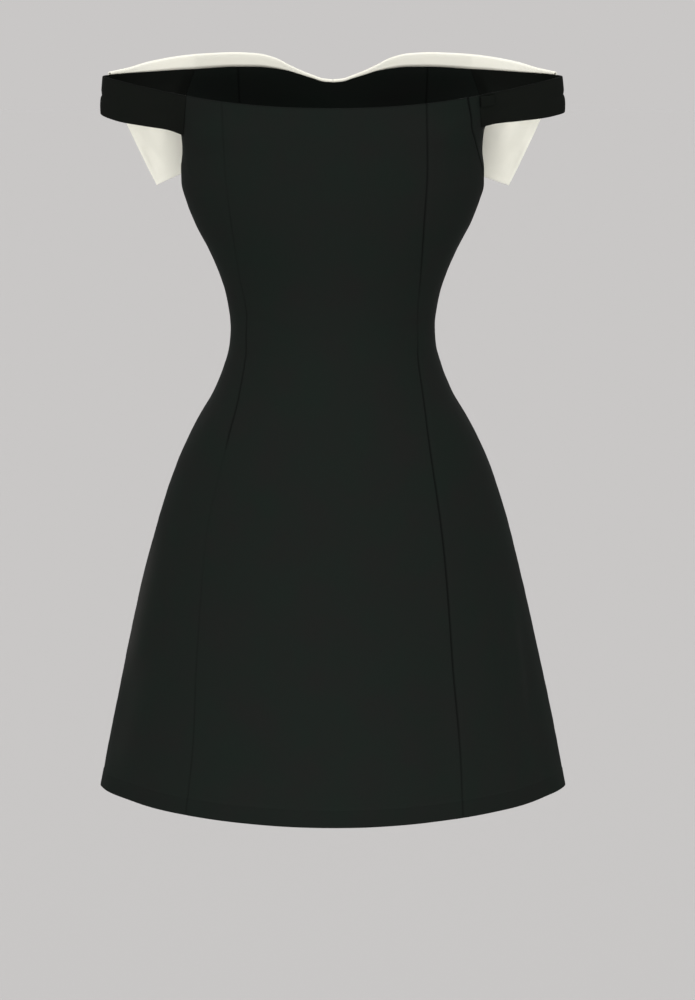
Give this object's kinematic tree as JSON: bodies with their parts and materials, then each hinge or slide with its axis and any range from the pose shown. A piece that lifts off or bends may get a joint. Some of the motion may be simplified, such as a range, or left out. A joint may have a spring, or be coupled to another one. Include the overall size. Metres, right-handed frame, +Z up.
{
  "type": "mini dress",
  "caption": "Off-the-shoulder mini dress, hollow as worn, with princess seams, bands round the arms, a turned-down collar that falls in points, and a side zip.",
  "frame": {"origin": "middle of the waist, the narrowest level of the dress, where the wearer's body holds it up", "axes": "+Z up, -Y out of the front, +Y out of the back, +X towards the wearer's left"},
  "size_m": [0.5004, 0.3077, 0.7823],
  "materials": {
    "black_cloth": "matt, finely woven crepe suiting",
    "ivory_cloth": "matt, finely woven crepe suiting",
    "zip_tape": "woven tape with a fine coil zip"
  },
  "bodies": {
    "root": {"back_centre": "black_cloth", "back_side_left": "black_cloth", "back_side_right": "black_cloth", "front_centre": "black_cloth", "front_side_left": "black_cloth", "front_side_right": "black_cloth", "band_left": "black_cloth", "band_right": "black_cloth", "collar_left": "ivory_cloth", "collar_right": "ivory_cloth", "side_zip": "zip_tape", "zip_tab": "black_cloth"}
  },
  "joints": []
}
